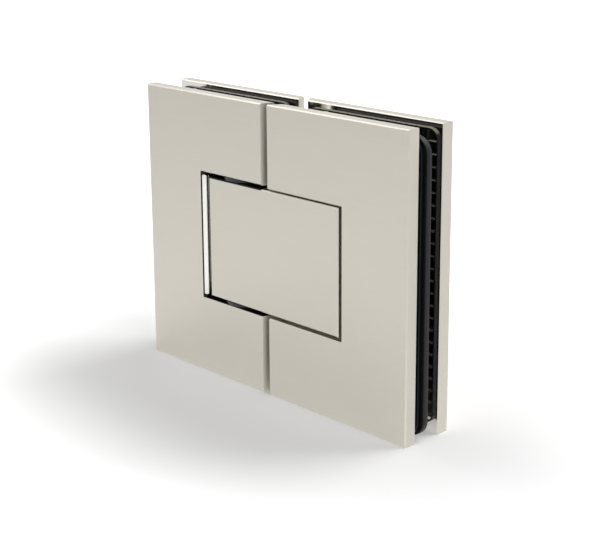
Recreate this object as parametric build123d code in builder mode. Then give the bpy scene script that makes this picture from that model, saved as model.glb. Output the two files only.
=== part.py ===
"""Glass-to-glass shower door hinge that swings 90 degrees both ways.

Frame: X = 0 is the middle of the gap between the door side (-X) and the fixed side (+X), Y = 0 is the
mid-plane of the glass slot with the front faces towards -Y, and Z = 0 is the lower edge of the plates.
All sizes are in millimetres.
"""

import os
from math import cos, pi, sin

from build123d import *

# Cover plates
plate_height = 90.0
plate_reach = 56.0  # from the middle of the hinge to the outer edge, on either side
plate_thickness = 4.2
inner_gap = 9.6  # clear depth between a front plate and its rear plate
edge_chamfer = 0.35  # broken edges of both faces

# Middle gap, slanted so that the door plates swing clear, from the middle of the hinge
door_end_outer = 2.4  # where a door plate ends, on its outer face
door_end_inner = 0.4
fixed_start_outer = 0.5  # where a fixed plate starts, on its outer face
fixed_start_inner = 3.5

# Pivot block and the openings round it
block_height = 38.4
block_door_reach = 26.4  # from the middle of the hinge to the end on the door side
block_fixed_reach = 29.6  # from the middle of the hinge to the end on the fixed side
notch_end_gap = 2.7
notch_end_round = 1.4  # of the notch's end, on the outer faces
notch_side_gap = 1.15  # above and below the block on the door side
window_end_gap = 1.2
window_top_gap = 0.45
window_bottom_gap = 1.1
pivot_offset = 16.5  # from the middle of the hinge to the pivot axis, on the door side

# Core between the plates: tongue of the block, clamp bars of the door plates
core_reach = 37.0  # from the middle of the hinge to the far end of the tongue and of the bars
tongue_margin = 0.65  # by which the tongue stands above and below the level of the bars
tongue_setback = 0.5  # behind the inner edge of the fixed plates
bar_height = 13.0
bar_setback = 5.6  # behind the inner edge of the door plates
bar_parting = 0.4  # between a front bar and its rear bar
core_clearance = 0.4  # round the tongue, inside the gaskets

# Pivot pin
pin_diameter = 10.0
pin_flat_width = 6.4  # across the two flats at each end
pin_end_gap = 0.35  # below the outer face of a bar
pin_shoulder_clearance = 0.1
pin_slot_clearance = 0.05
cam_across_flats = 8.6
cam_length = 14.0
pin_bore_clearance = 0.4  # round the cam, on the radius

# Bushes and thrust washers
bush_diameter = 13.0
bush_length = 8.0
running_clearance = 0.05  # between the pin and a bush, on the radius
washer_diameter = 17.6
washer_bore_clearance = 0.1  # on the radius
washer_play = 0.1  # between a washer and the block

# Detent
detent_bore = 8.0
plunger_length = 20.0
plunger_clearance = 0.15  # between the corners of the cam and the plunger
sliding_clearance = 0.05  # round the plunger and the plug, on the radius
plunger_chamfer = 0.8
spring_diameter = 7.2
spring_wire = 1.5  # square section, as in a die spring
spring_turns = 3.5
spring_end_gap = 0.1  # at each end of the spring
spring_sides = 12  # straight runs in each turn
plug_length = 12.0
plug_recess = 0.4  # below the end of the tongue
plug_socket = 4.0  # across flats
plug_socket_depth = 3.5

# Clamp screws and grub screws
fixed_screw_offset = 18.0  # from the middle of the hinge
door_screw_offset = 32.0
post_diameter = 10.0
post_clearance = 0.15  # round a post, on the radius
post_gap = 0.4  # between a post and the rear plate
clamp_diameter = 6.0
clamp_head_diameter = 11.4
clamp_head_height = 2.7
clamp_head_recess = 0.3
clamp_length = 15.0
clamp_socket = 4.0  # across flats
clamp_socket_depth = 2.2
thread_clearance = 0.05  # on the radius
thread_end_gap = 0.6  # below the tip of a clamp screw
clamp_hole_clearance = 0.3  # on the radius
grub_diameter = 5.0
grub_recess = 0.3
grub_socket = 2.5  # across flats
grub_socket_depth = 2.2

# Gaskets that stay on the plates
gasket_height = 85.5
gasket_raise = 0.5  # above the middle of the plates
gasket_thickness = 0.8
gasket_corner = 3.2
gasket_side_inset = 1.4  # from the outer edge of the plates
gasket_start = 0.4  # from the inner edge of the fixed plates
pocket_pitch = 3.6  # of the moulded openings along the outer edge
pocket_width = 3.3
rib_width = 0.45  # between two openings, and along their outer edge

# Loose packings that narrow the slot for thinner glass
packing_height = 86.0
packing_drop = 0.8  # the loose sheets hang this far below the middle of the plates
inner_packing_thickness = 1.0
outer_packing_thickness = 2.0
packing_corner = 5.0
packing_side_inset = 0.2
outer_packing_slip = 1.3  # by which the outer packing has slid out of the slot

# Derived places
hinge_depth = inner_gap + 2 * plate_thickness
hinge_middle = plate_height / 2
block_length = block_door_reach + block_fixed_reach
block_centre = (block_fixed_reach - block_door_reach) / 2
notch_end = block_door_reach + notch_end_gap
notch_half_height = block_height / 2 + notch_side_gap
window_end = block_fixed_reach + window_end_gap
window_top = hinge_middle + block_height / 2 + window_top_gap
window_bottom = hinge_middle - block_height / 2 - window_bottom_gap
tongue_start = fixed_start_inner + tongue_setback
bar_start = door_end_inner + bar_setback
bar_length = core_reach - bar_start
bar_middle = notch_half_height + bar_height / 2
bar_depth = (inner_gap - bar_parting) / 2
tongue_half_height = notch_half_height + bar_height + tongue_margin
pin_half_length = notch_half_height + bar_height - pin_end_gap
pin_shoulder = notch_half_height - pin_shoulder_clearance
head_seat = hinge_depth / 2 - clamp_head_recess
screw_tip = head_seat - clamp_length
thread_end = screw_tip - thread_end_gap
clamp_hole_diameter = clamp_diameter + 2 * clamp_hole_clearance
plunger_face = pin_diameter / 2 + plunger_clearance - pivot_offset
plunger_back = plunger_face + plunger_length
plug_outer = core_reach - plug_recess
plug_inner = plug_outer - plug_length
spring_length = plug_inner - plunger_back
spring_radius = (spring_diameter - spring_wire) / 2
coil_start = plunger_back + spring_wire / 2 + spring_end_gap
coil_length = spring_length - spring_wire - 2 * spring_end_gap

# Planes that the pieces are drawn on
mid_height = Plane.XY.offset(hinge_middle)
front_inner = Plane.XZ.offset(inner_gap / 2)
rear_inner = Plane.XZ.offset(-inner_gap / 2)
fixed_screw_places = [
    (fixed_screw_offset, hinge_middle + bar_middle),
    (fixed_screw_offset, hinge_middle - bar_middle),
]
door_screw_places = [
    (-door_screw_offset, hinge_middle + bar_middle),
    (-door_screw_offset, hinge_middle - bar_middle),
]
grub_places = [
    (-pivot_offset, hinge_middle + bar_middle),
    (-pivot_offset, hinge_middle - bar_middle),
]


def rear_planes(places, y):
    """Planes at depth y that face the rear, one for each (x, z) place."""
    return [Plane(origin=(x, y, z), x_dir=(1, 0, 0), z_dir=(0, 1, 0)) for x, z in places]


def blank_part(outer_face, inner_face, outer_end, inner_end, far_end):
    """Plate between two depths with a slanted end beside the middle gap and its long edges broken."""
    with BuildPart() as blank:
        with BuildSketch():
            with BuildLine():
                Polyline(
                    (outer_end, outer_face),
                    (far_end, outer_face),
                    (far_end, inner_face),
                    (inner_end, inner_face),
                    close=True,
                )
            make_face()
        extrude(amount=plate_height)
        across = blank.edges().filter_by(Axis.X)
        upright = blank.edges().filter_by(Axis.Z).group_by(Axis.X)
        outer_edges = upright[-1] if far_end > 0 else upright[0]
        chamfer(across + outer_edges, length=edge_chamfer)
    return blank.part


def window_sketch(plane):
    """Outline of the window of a fixed plate, open towards the door side."""
    with BuildSketch(plane) as outline:
        with Locations((window_end / 2, (window_top + window_bottom) / 2)):
            Rectangle(window_end, window_top - window_bottom)
    return outline.sketch


def notch_sketch(plane):
    """Outline of the notch of a door plate, open towards the fixed side."""
    with BuildSketch(plane) as outline:
        with Locations((-notch_end / 2, hinge_middle)):
            Rectangle(notch_end, 2 * notch_half_height)
    return outline.sketch


def opening_edges(part, end, outer_face):
    """Edges of a window or a notch on the outer face of a plate: the upright end, then the two along it."""
    on_face = part.edges().filter_by_position(Axis.Y, outer_face, outer_face)
    upright = on_face.filter_by(Axis.Z).filter_by_position(Axis.X, end, end)
    along = on_face.filter_by(Axis.X).sort_by(Axis.Z)[1:-1]
    return upright, along


def bar_sketch(plane):
    """Outlines of the two clamp bars of a door plate, above and below the notch."""
    with BuildSketch(plane) as outline:
        with Locations(
            (-(bar_start + core_reach) / 2, hinge_middle + bar_middle),
            (-(bar_start + core_reach) / 2, hinge_middle - bar_middle),
        ):
            Rectangle(bar_length, bar_height)
    return outline.sketch


def pin_slot_sketch(plane):
    """Outline of the slot that the flat end of the pin lies in, in both bars of a plate."""
    with BuildSketch(plane) as outline:
        with Locations((-pivot_offset, hinge_middle)):
            Rectangle(pin_diameter + 2 * pin_slot_clearance, 2 * (notch_half_height + bar_height))
    return outline.sketch


def sheet_sketch(plane, inset, height, corner, centre, cut_height, slip=0.0):
    """C-shaped outline of a gasket or a packing that goes round the core."""
    start = fixed_start_inner + gasket_start + slip
    end = plate_reach - inset + slip
    cut_end = core_reach + core_clearance + slip
    with BuildSketch(plane) as outline:
        with Locations(((start + end) / 2, centre)):
            RectangleRounded(end - start, height, corner)
        with Locations(((start + cut_end) / 2, centre)):
            Rectangle(cut_end - start, cut_height, mode=Mode.SUBTRACT)
    return outline.sketch


def pocket_sketch(plane):
    """Column of rectangular openings moulded in a gasket along its outer edge."""
    count = int((gasket_height - 2 * gasket_corner) / pocket_pitch)
    with BuildSketch(plane) as outline:
        with Locations((plate_reach - gasket_side_inset - rib_width - pocket_width / 2, hinge_middle + gasket_raise)):
            with GridLocations(pocket_pitch, pocket_pitch, 1, count):
                Rectangle(pocket_width, pocket_pitch - rib_width)
    return outline.sketch


def screw_part(place):
    """Countersunk socket screw driven in from the rear face at an (x, z) place."""
    x, z = place
    with BuildPart() as screw:
        with BuildSketch(Plane(origin=(x, head_seat, z), x_dir=(1, 0, 0), z_dir=(0, 0, 1))):
            with BuildLine():
                Polyline(
                    (0, 0),
                    (clamp_head_diameter / 2, 0),
                    (clamp_diameter / 2, -clamp_head_height),
                    (clamp_diameter / 2, -clamp_length),
                    (0, -clamp_length),
                    close=True,
                )
            make_face()
        revolve(axis=Axis((x, 0, z), (0, 1, 0)))
        with BuildSketch(*rear_planes([place], head_seat)):
            RegularPolygon(clamp_socket / 2, 6, major_radius=False)
        extrude(amount=-clamp_socket_depth, mode=Mode.SUBTRACT)
    return screw.part


def grub_part(place):
    """Socket grub screw from just below the rear face to the flat of the pin."""
    outer = hinge_depth / 2 - grub_recess
    with BuildPart() as grub:
        with BuildSketch(*rear_planes([place], pin_flat_width / 2)):
            Circle(grub_diameter / 2)
        extrude(amount=outer - pin_flat_width / 2)
        with BuildSketch(*rear_planes([place], outer)):
            RegularPolygon(grub_socket / 2, 6, major_radius=False)
        extrude(amount=-grub_socket_depth, mode=Mode.SUBTRACT)
    return grub.part


# ---------------------------------------------------------------------------------- fixed side

with BuildPart() as fixed_front_plate:
    add(blank_part(-hinge_depth / 2, -inner_gap / 2, fixed_start_outer, fixed_start_inner, plate_reach))
    extrude(window_sketch(front_inner), amount=plate_thickness, mode=Mode.SUBTRACT)
    upright, along = opening_edges(fixed_front_plate, window_end, -hinge_depth / 2)
    chamfer(upright + along, length=edge_chamfer)
    with BuildSketch(front_inner):
        with Locations(*fixed_screw_places):
            Circle(post_diameter / 2)
    extrude(amount=post_gap - inner_gap)
    with BuildSketch(Plane.XZ.offset(post_gap - inner_gap / 2)):
        with Locations(*fixed_screw_places):
            Circle(clamp_diameter / 2 + thread_clearance)
    extrude(amount=inner_gap / 2 - post_gap - thread_end, mode=Mode.SUBTRACT)

with BuildPart() as fixed_rear_plate:
    add(blank_part(hinge_depth / 2, inner_gap / 2, fixed_start_outer, fixed_start_inner, plate_reach))
    extrude(window_sketch(rear_inner), amount=-plate_thickness, mode=Mode.SUBTRACT)
    upright, along = opening_edges(fixed_rear_plate, window_end, hinge_depth / 2)
    chamfer(upright + along, length=edge_chamfer)
    with Locations(*rear_planes(fixed_screw_places, hinge_depth / 2)):
        CounterSinkHole(
            radius=clamp_hole_diameter / 2,
            counter_sink_radius=clamp_head_diameter / 2 + clamp_head_recess,
            depth=plate_thickness,
            counter_sink_angle=90,
        )

with BuildPart() as pivot_block:
    with BuildSketch(Plane.XZ):
        with Locations((block_centre, hinge_middle)):
            Rectangle(block_length, block_height)
    extrude(amount=hinge_depth / 2, both=True)
    chamfer(pivot_block.faces().sort_by(Axis.Y)[0].edges(), length=edge_chamfer)
    chamfer(pivot_block.faces().sort_by(Axis.Y)[-1].edges(), length=edge_chamfer)
    with BuildSketch(Plane.XZ):
        with Locations(((tongue_start + core_reach) / 2, hinge_middle)):
            Rectangle(core_reach - tongue_start, 2 * tongue_half_height)
    extrude(amount=inner_gap / 2, both=True)
    with Locations(
        Plane(origin=(-pivot_offset, 0, hinge_middle + block_height / 2), z_dir=(0, 0, 1)),
        Plane(origin=(-pivot_offset, 0, hinge_middle - block_height / 2), z_dir=(0, 0, -1)),
    ):
        CounterBoreHole(
            radius=pin_diameter / 2 + pin_bore_clearance,
            counter_bore_radius=bush_diameter / 2,
            counter_bore_depth=bush_length,
            depth=block_height / 2,
        )
    with Locations(Plane(origin=(core_reach, 0, hinge_middle), z_dir=(1, 0, 0))):
        Hole(radius=detent_bore / 2, depth=core_reach + pivot_offset)
    with Locations(*rear_planes(fixed_screw_places, inner_gap / 2)):
        Hole(radius=post_diameter / 2 + post_clearance, depth=inner_gap)

with BuildPart() as upper_bush:
    with BuildSketch(Plane.XY.offset(hinge_middle + block_height / 2 - bush_length)):
        with Locations((-pivot_offset, 0)):
            Circle(bush_diameter / 2)
            Circle(pin_diameter / 2 + running_clearance, mode=Mode.SUBTRACT)
    extrude(amount=bush_length)

with BuildPart() as lower_bush:
    mirror(upper_bush.part, about=mid_height)

with BuildPart() as detent_plunger:
    with BuildSketch(Plane.YZ.offset(plunger_face)):
        with Locations((0, hinge_middle)):
            Circle(detent_bore / 2 - sliding_clearance)
    extrude(amount=plunger_length)
    chamfer(detent_plunger.edges().group_by(Axis.X)[0], length=plunger_chamfer)

coil_points = [
    (
        coil_start + coil_length * step / (spring_turns * spring_sides),
        spring_radius * cos(2 * pi * step / spring_sides),
        hinge_middle + spring_radius * sin(2 * pi * step / spring_sides),
    )
    for step in range(int(spring_turns * spring_sides) + 1)
]

with BuildPart() as detent_spring:
    with BuildLine() as coil:
        Polyline(*coil_points)
    with BuildSketch(Plane(origin=coil.line @ 0, x_dir=(1, 0, 0), z_dir=coil.line % 0)):
        Rectangle(spring_wire, spring_wire)
    sweep(transition=Transition.RIGHT)

with BuildPart() as spring_plug:
    with BuildSketch(Plane.YZ.offset(plug_inner)):
        with Locations((0, hinge_middle)):
            Circle(detent_bore / 2 - sliding_clearance)
    extrude(amount=plug_length)
    with BuildSketch(Plane.YZ.offset(plug_outer)):
        with Locations((0, hinge_middle)):
            RegularPolygon(plug_socket / 2, 6, major_radius=False)
    extrude(amount=-plug_socket_depth, mode=Mode.SUBTRACT)

gasket_shape = {
    "inset": gasket_side_inset,
    "height": gasket_height,
    "corner": gasket_corner,
    "centre": hinge_middle + gasket_raise,
    "cut_height": 2 * (tongue_half_height + gasket_raise + core_clearance),
}
packing_shape = {
    "inset": packing_side_inset,
    "height": packing_height,
    "corner": packing_corner,
    "centre": hinge_middle - packing_drop,
    "cut_height": 2 * (tongue_half_height + packing_drop + core_clearance),
}
inner_packing_face = inner_gap / 2 - gasket_thickness
outer_packing_face = inner_packing_face - inner_packing_thickness

with BuildPart() as fixed_front_gasket:
    extrude(sheet_sketch(front_inner, **gasket_shape), amount=-gasket_thickness)

with BuildPart() as fixed_inner_packing:
    packing_outline = sheet_sketch(Plane.XZ.offset(inner_packing_face), **packing_shape)
    extrude(packing_outline, amount=-inner_packing_thickness)

with BuildPart() as fixed_outer_packing:
    packing_outline = sheet_sketch(Plane.XZ.offset(outer_packing_face), **packing_shape, slip=outer_packing_slip)
    extrude(packing_outline, amount=-outer_packing_thickness)

with BuildPart() as fixed_rear_gasket:
    extrude(sheet_sketch(rear_inner, **gasket_shape), amount=gasket_thickness)
    extrude(pocket_sketch(rear_inner), amount=gasket_thickness, mode=Mode.SUBTRACT)

with BuildPart() as fixed_upper_clamp_screw:
    add(screw_part(fixed_screw_places[0]))

with BuildPart() as fixed_lower_clamp_screw:
    add(screw_part(fixed_screw_places[1]))

# ----------------------------------------------------------------------------------- door side

with BuildPart() as door_front_plate:
    add(blank_part(-hinge_depth / 2, -inner_gap / 2, -door_end_outer, -door_end_inner, -plate_reach))
    extrude(notch_sketch(front_inner), amount=plate_thickness, mode=Mode.SUBTRACT)
    upright, along = opening_edges(door_front_plate, -notch_end, -hinge_depth / 2)
    fillet(upright, radius=notch_end_round)
    upright, along = opening_edges(door_front_plate, -notch_end, -hinge_depth / 2)
    chamfer(along, length=edge_chamfer)
    extrude(bar_sketch(front_inner), amount=-bar_depth)
    extrude(pin_slot_sketch(Plane.XZ.offset(pin_flat_width / 2)), amount=-inner_gap, mode=Mode.SUBTRACT)
    with BuildSketch(Plane.XZ.offset(bar_parting / 2)):
        with Locations(*door_screw_places):
            Circle(clamp_diameter / 2 + thread_clearance)
    extrude(amount=-thread_end - bar_parting / 2, mode=Mode.SUBTRACT)

with BuildPart() as door_rear_plate:
    add(blank_part(hinge_depth / 2, inner_gap / 2, -door_end_outer, -door_end_inner, -plate_reach))
    extrude(notch_sketch(rear_inner), amount=-plate_thickness, mode=Mode.SUBTRACT)
    upright, along = opening_edges(door_rear_plate, -notch_end, hinge_depth / 2)
    fillet(upright, radius=notch_end_round)
    upright, along = opening_edges(door_rear_plate, -notch_end, hinge_depth / 2)
    chamfer(along, length=edge_chamfer)
    extrude(bar_sketch(rear_inner), amount=bar_depth)
    extrude(pin_slot_sketch(Plane.XZ.offset(-pin_flat_width / 2)), amount=inner_gap, mode=Mode.SUBTRACT)
    with Locations(*rear_planes(door_screw_places, hinge_depth / 2)):
        CounterSinkHole(
            radius=clamp_hole_diameter / 2,
            counter_sink_radius=clamp_head_diameter / 2 + clamp_head_recess,
            depth=plate_thickness + bar_depth,
            counter_sink_angle=90,
        )
    with Locations(*rear_planes(grub_places, hinge_depth / 2)):
        Hole(radius=grub_diameter / 2 + thread_clearance, depth=plate_thickness + bar_depth)

with BuildPart() as pivot_pin:
    with BuildSketch(mid_height):
        with Locations((-pivot_offset, 0)):
            Circle(pin_diameter / 2)
            Rectangle(cam_across_flats, cam_across_flats, mode=Mode.INTERSECT)
    extrude(amount=cam_length / 2)
    with BuildSketch(Plane.XY.offset(hinge_middle + cam_length / 2)):
        with Locations((-pivot_offset, 0)):
            Circle(pin_diameter / 2)
    extrude(amount=pin_shoulder - cam_length / 2)
    with BuildSketch(Plane.XY.offset(hinge_middle + pin_shoulder)):
        with Locations((-pivot_offset, 0)):
            Circle(pin_diameter / 2)
            Rectangle(pin_diameter, pin_flat_width, mode=Mode.INTERSECT)
    extrude(amount=pin_half_length - pin_shoulder)
    mirror(about=mid_height)

with BuildPart() as upper_thrust_washer:
    with BuildSketch(Plane.XY.offset(hinge_middle + notch_half_height)):
        with Locations((-pivot_offset, 0)):
            Circle(washer_diameter / 2)
            Circle(pin_diameter / 2 + washer_bore_clearance, mode=Mode.SUBTRACT)
    extrude(amount=washer_play - notch_side_gap)

with BuildPart() as lower_thrust_washer:
    mirror(upper_thrust_washer.part, about=mid_height)

with BuildPart() as door_front_gasket:
    mirror(fixed_front_gasket.part, about=Plane.YZ)

with BuildPart() as door_inner_packing:
    mirror(fixed_inner_packing.part, about=Plane.YZ)

with BuildPart() as door_outer_packing:
    mirror(fixed_outer_packing.part, about=Plane.YZ)

with BuildPart() as door_rear_gasket:
    mirror(fixed_rear_gasket.part, about=Plane.YZ)

with BuildPart() as door_upper_clamp_screw:
    add(screw_part(door_screw_places[0]))

with BuildPart() as door_lower_clamp_screw:
    add(screw_part(door_screw_places[1]))

with BuildPart() as upper_pin_grub_screw:
    add(grub_part(grub_places[0]))

with BuildPart() as lower_pin_grub_screw:
    add(grub_part(grub_places[1]))

# -------------------------------------------------------------------------------------- export

pieces = {
    "fixed_front_plate": fixed_front_plate,
    "fixed_rear_plate": fixed_rear_plate,
    "pivot_block": pivot_block,
    "upper_bush": upper_bush,
    "lower_bush": lower_bush,
    "detent_plunger": detent_plunger,
    "detent_spring": detent_spring,
    "spring_plug": spring_plug,
    "fixed_front_gasket": fixed_front_gasket,
    "fixed_inner_packing": fixed_inner_packing,
    "fixed_outer_packing": fixed_outer_packing,
    "fixed_rear_gasket": fixed_rear_gasket,
    "fixed_upper_clamp_screw": fixed_upper_clamp_screw,
    "fixed_lower_clamp_screw": fixed_lower_clamp_screw,
    "door_front_plate": door_front_plate,
    "door_rear_plate": door_rear_plate,
    "pivot_pin": pivot_pin,
    "upper_thrust_washer": upper_thrust_washer,
    "lower_thrust_washer": lower_thrust_washer,
    "door_front_gasket": door_front_gasket,
    "door_inner_packing": door_inner_packing,
    "door_outer_packing": door_outer_packing,
    "door_rear_gasket": door_rear_gasket,
    "door_upper_clamp_screw": door_upper_clamp_screw,
    "door_lower_clamp_screw": door_lower_clamp_screw,
    "upper_pin_grub_screw": upper_pin_grub_screw,
    "lower_pin_grub_screw": lower_pin_grub_screw,
}

os.makedirs("parts", exist_ok=True)
for name, piece in pieces.items():
    piece.part.label = name
    export_step(piece.part, f"parts/{name}.step")
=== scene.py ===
"""Looks of a glass door hinge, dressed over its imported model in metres."""

from __future__ import annotations

import logging
import math
from dataclasses import dataclass, field
from enum import Enum

import bpy
import numpy as np
from mathutils import Matrix, Vector
from numpy.typing import NDArray

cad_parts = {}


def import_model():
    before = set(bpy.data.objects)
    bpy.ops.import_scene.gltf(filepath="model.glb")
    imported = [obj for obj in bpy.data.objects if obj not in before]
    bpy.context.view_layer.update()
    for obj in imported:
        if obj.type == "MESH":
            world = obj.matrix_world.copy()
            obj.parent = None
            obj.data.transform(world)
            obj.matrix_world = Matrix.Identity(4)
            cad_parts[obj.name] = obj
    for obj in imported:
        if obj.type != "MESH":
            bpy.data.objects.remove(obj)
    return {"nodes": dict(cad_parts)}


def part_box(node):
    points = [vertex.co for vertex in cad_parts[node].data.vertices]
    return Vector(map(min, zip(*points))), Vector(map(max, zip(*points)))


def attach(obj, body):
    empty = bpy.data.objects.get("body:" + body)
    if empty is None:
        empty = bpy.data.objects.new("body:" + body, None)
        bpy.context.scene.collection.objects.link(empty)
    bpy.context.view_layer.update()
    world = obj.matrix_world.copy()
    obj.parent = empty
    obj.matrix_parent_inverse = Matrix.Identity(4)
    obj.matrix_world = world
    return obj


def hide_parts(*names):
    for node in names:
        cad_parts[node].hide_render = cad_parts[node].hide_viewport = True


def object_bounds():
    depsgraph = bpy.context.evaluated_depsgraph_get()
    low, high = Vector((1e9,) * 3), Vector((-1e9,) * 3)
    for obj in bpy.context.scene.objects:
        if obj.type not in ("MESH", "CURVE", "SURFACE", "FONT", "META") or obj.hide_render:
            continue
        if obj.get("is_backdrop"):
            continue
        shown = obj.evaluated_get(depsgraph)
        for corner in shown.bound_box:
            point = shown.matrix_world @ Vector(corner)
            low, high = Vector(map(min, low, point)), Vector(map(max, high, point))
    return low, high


MM = 0.001
FINE_STEP = 0.01 * MM  # grid lines closer than this are one
DIGITS = 6  # of a grid line's place in metres, which makes a micron
NOISE_LOW, NOISE_HIGH = 0.3, 0.7  # a noise pattern seldom leaves this band
WAVE_PERIOD = 0.314  # of a ring pattern whose scale is one
WHITE = (1.0, 1.0, 1.0, 1.0)
LOG = logging.getLogger("hinge")
Grid = NDArray[np.float64]
Faces = list[list[int]]
Tree = bpy.types.NodeTree
Socket = bpy.types.NodeSocket


class Side(Enum):
    """The two halves that the pin joins, and the way each points along X."""

    FIXED = 1
    DOOR = -1

    @property
    def body(self) -> str:
        """Name of the CAD body that this half moves with."""
        return f"{self.name.lower()}_side"

    def node(self, piece: str) -> str:
        """Name of this half's CAD node for a piece."""
        return f"{self.name.lower()}_{piece}"


# ------------------------------------------------------------------------------------ nodes


def linear(colour: str) -> tuple[float, float, float, float]:
    """Turns an sRGB hex colour to linear light.

    Args:
        colour: hex text, such as "#C8C5BD".

    Returns:
        Red, green, blue and alpha for a shader socket.
    """
    parts = np.array([int(colour[i : i + 2], 16) for i in (1, 3, 5)]) / 255
    light = np.where(parts <= 0.04045, parts / 12.92, ((parts + 0.055) / 1.055) ** 2.4)
    return (*map(float, light), 1.0)


def add_node(
    tree: Tree,
    kind: str,
    settings: dict[str, object] | None = None,
    inputs: dict[str | int, object] | None = None,
) -> bpy.types.Node:
    """Adds one node with its settings and links.

    Args:
        tree: the node tree to add to.
        kind: the node's type name.
        settings: values for the node's own properties.
        inputs: for each socket, by name or number, a value or the output that feeds it.

    Returns:
        The new node.
    """
    node = tree.nodes.new(kind)
    for name, value in (settings or {}).items():
        setattr(node, name, value)
    for key, value in (inputs or {}).items():
        if isinstance(value, Socket):
            tree.links.new(value, node.inputs[key])
        else:
            node.inputs[key].default_value = value
    return node


# --------------------------------------------------------------------------------- finishes


@dataclass(frozen=True)
class Finish:
    """What a surface is made of. Each kind lays out its own nodes."""

    name: str

    def surface(self, tree: Tree) -> Socket:
        """Lays out the nodes of this finish and returns the shader's output."""
        raise NotImplementedError

    def material(self) -> bpy.types.Material:
        """Makes this finish's material, or finds the one made before.

        Returns:
            The material, with its nodes.
        """
        found = bpy.data.materials.get(self.name)
        if found:
            return found
        made = bpy.data.materials.new(self.name)
        made.use_nodes = True
        made.node_tree.nodes.clear()
        shader = self.surface(made.node_tree)
        add_node(made.node_tree, "ShaderNodeOutputMaterial", {}, {"Surface": shader})
        return made


@dataclass(frozen=True, kw_only=True)
class MarkedFinish(Finish):
    """A finish with fine marks all over it, which move its gloss and stand up a little."""

    roughness: float
    mark_gloss: tuple[float, float] = (-0.06, 0.08)  # what the marks add to the roughness
    mark_band: tuple[float, float] = (NOISE_LOW, NOISE_HIGH)  # heights where that starts and ends
    mark_depth: float
    mark_relief: float  # share of that depth that shows

    def marked(self, tree: Tree, marks: Socket, inputs: dict[str, object]) -> Socket:
        """Lays out what the marks do to the gloss and the relief.

        Args:
            tree: the material's node tree.
            marks: height of the marks, from nought to one.
            inputs: the shader's other inputs by name.

        Returns:
            The shader's output.
        """
        faint, full = self.mark_band
        low, high = (self.roughness + added for added in self.mark_gloss)
        gloss = add_node(
            tree, "ShaderNodeMapRange", {}, {0: marks, 1: faint, 2: full, 3: low, 4: high}
        ).outputs[0]
        relief = add_node(
            tree,
            "ShaderNodeBump",
            {},
            {"Strength": self.mark_relief, "Distance": self.mark_depth, "Height": marks},
        ).outputs["Normal"]
        inputs = {**inputs, "Roughness": gloss, "Normal": relief}
        return add_node(tree, "ShaderNodeBsdfPrincipled", {}, inputs).outputs["BSDF"]


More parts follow.
